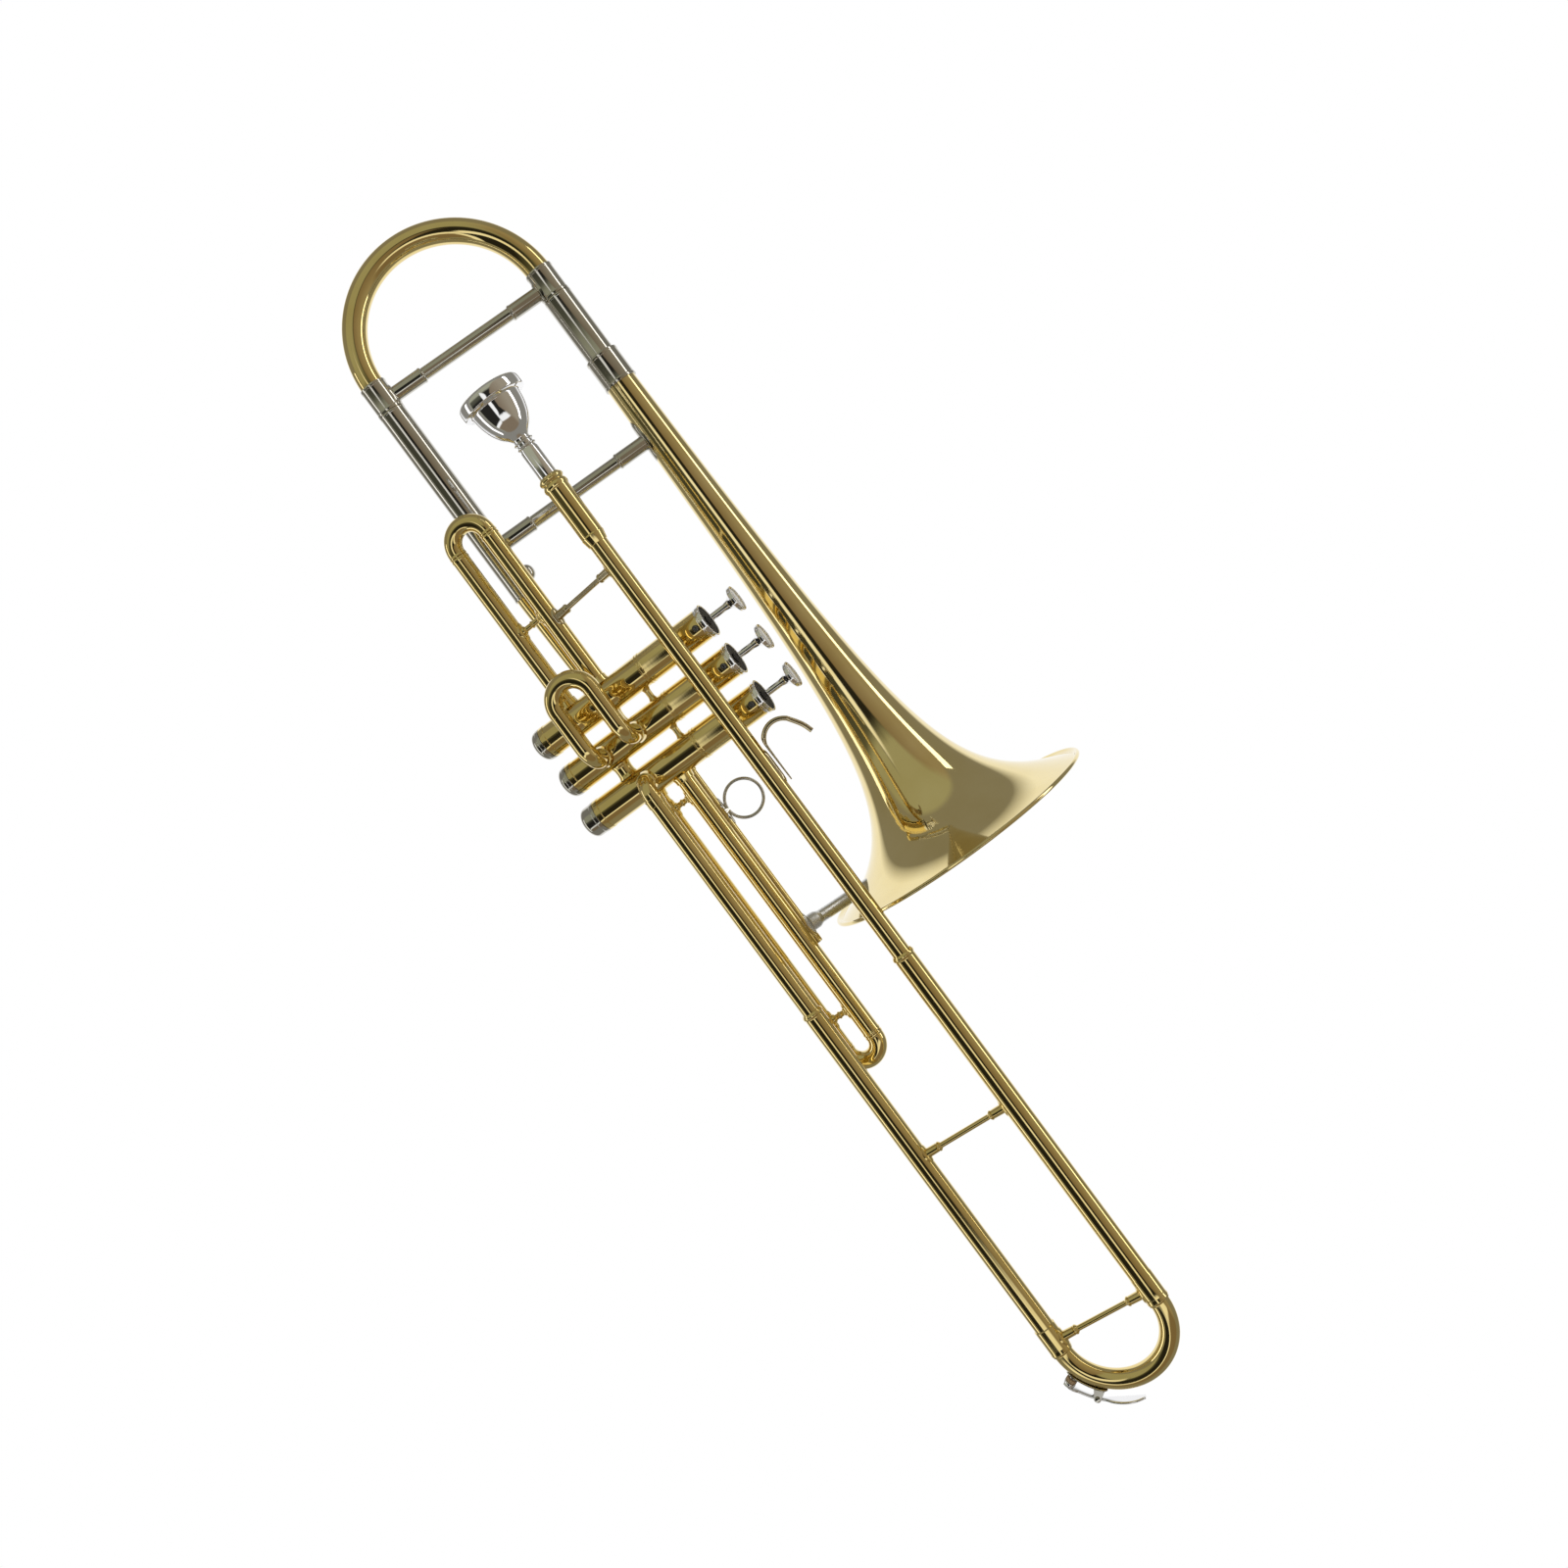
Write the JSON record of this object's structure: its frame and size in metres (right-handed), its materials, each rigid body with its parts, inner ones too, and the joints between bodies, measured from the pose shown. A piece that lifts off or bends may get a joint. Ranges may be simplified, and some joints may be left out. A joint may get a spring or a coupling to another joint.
{
  "type": "valve trombone",
  "caption": "Tenor valve trombone with a flared bell, piston valves in a row, pull-out tuning slides, braces, a finger ring and hook, a water key and a cup mouthpiece.",
  "frame": {"origin": "middle of the second valve's casing where the left hand holds it", "axes": "+X along the tubes toward the bell mouth and the front bow, +Y across toward the bell, +Z out of the plane of the bell toward the lead pipe"},
  "size_m": [0.9134, 0.3015, 0.2092],
  "materials": {
    "brass": "gold lacquer",
    "nickel": "polished nickel silver",
    "silver": "silver plate",
    "felt": "black felt",
    "pearl": "pearl",
    "spring": "spring wire",
    "cork": "cork"
  },
  "bodies": {
    "root": {"bell": "brass", "bell_brace": "nickel", "bell_stay": "nickel", "bell_tail": "brass", "bottom_cap_1": "nickel", "bottom_cap_2": "nickel", "bottom_cap_3": "nickel", "cap_felt_1": "felt", "cap_felt_2": "felt", "cap_felt_3": "felt", "casing_bridge_1_2": "brass", "casing_bridge_2_3": "brass", "finger_hook": "brass", "finger_ring": "nickel", "first_slide_sleeves": "brass", "gooseneck": "brass", "knuckle_tube_1_2": "brass", "knuckle_tube_2_3": "brass", "lead_pipe": "brass", "lead_pipe_stay": "brass", "mouthpiece_receiver": "brass", "return_tube": "brass", "second_slide_lower_sleeve": "brass", "second_slide_upper_sleeve": "brass", "support_tube": "brass", "third_slide_sleeves": "brass", "top_cap_1": "nickel", "top_cap_2": "nickel", "top_cap_3": "nickel", "tuning_slide_lower_sleeve": "nickel", "tuning_slide_upper_sleeve": "nickel", "valve_casing_1": "brass", "valve_casing_2": "brass", "valve_casing_3": "brass", "valve_spring_1": "spring", "valve_spring_2": "spring", "valve_spring_3": "spring"},
    "tuning_slide": {"tuning_slide_bow": "brass", "tuning_slide_brace": "nickel"},
    "front_slide": {"front_slide_upper_sleeve": "brass", "front_slide_lower_sleeve": "brass", "front_bow": "brass", "front_slide_rear_brace": "brass", "front_slide_front_brace": "brass", "water_key_saddle": "nickel"},
    "water_key": {"water_key_lever": "silver", "water_key_cork": "cork"},
    "first_slide": {"first_slide_crook": "brass"},
    "second_slide": {"second_slide_crook": "brass"},
    "third_slide": {"third_slide_crook": "brass"},
    "mouthpiece": {"mouthpiece": "silver"},
    "valve_1": {"piston_1": "nickel", "finger_button_1": "silver", "button_pearl_1": "pearl"},
    "valve_2": {"piston_2": "nickel", "finger_button_2": "silver", "button_pearl_2": "pearl"},
    "valve_3": {"piston_3": "nickel", "finger_button_3": "silver", "button_pearl_3": "pearl"}
  },
  "joints": [
    {"name": "valve_1_press", "type": "slide", "parent": "root", "child": "valve_1", "axis": [0, -0.9659, -0.2588], "range_m": [0, 0.015], "stiffness_N_per_m": 60, "springref_m": -0.02, "deforming": ["valve_spring_1"]},
    {"name": "valve_2_press", "type": "slide", "parent": "root", "child": "valve_2", "axis": [0, -0.9659, -0.2588], "range_m": [0, 0.015], "stiffness_N_per_m": 60, "springref_m": -0.02, "deforming": ["valve_spring_2"]},
    {"name": "valve_3_press", "type": "slide", "parent": "root", "child": "valve_3", "axis": [0, -0.9659, -0.2588], "range_m": [0, 0.015], "stiffness_N_per_m": 60, "springref_m": -0.02, "deforming": ["valve_spring_3"]},
    {"name": "tuning_slide_pull", "type": "slide", "parent": "root", "child": "tuning_slide", "axis": [-1, 0, 0], "range_m": [0, 0.045]},
    {"name": "front_slide_pull", "type": "slide", "parent": "root", "child": "front_slide", "axis": [1, 0, 0], "range_m": [0, 0.06]},
    {"name": "first_slide_pull", "type": "slide", "parent": "root", "child": "first_slide", "axis": [-1, 0, 0], "range_m": [0, 0.045]},
    {"name": "second_slide_pull", "type": "slide", "parent": "root", "child": "second_slide", "axis": [-1, 0, 0], "range_m": [0, 0.015]},
    {"name": "third_slide_pull", "type": "slide", "parent": "root", "child": "third_slide", "axis": [1, 0, 0], "range_m": [0, 0.06]},
    {"name": "mouthpiece_pull", "type": "slide", "parent": "root", "child": "mouthpiece", "axis": [-1, 0, 0], "range_m": [0, 0.025]},
    {"name": "water_key_hinge", "type": "hinge", "parent": "front_slide", "child": "water_key", "pos_m": [0.52423, -0.05701, 0.00658], "axis": [0, -0.3171, 0.9484], "range_deg": [0, 12], "stiffness_Nm_per_rad": 0.04, "springref_deg": -28.65}
  ]
}
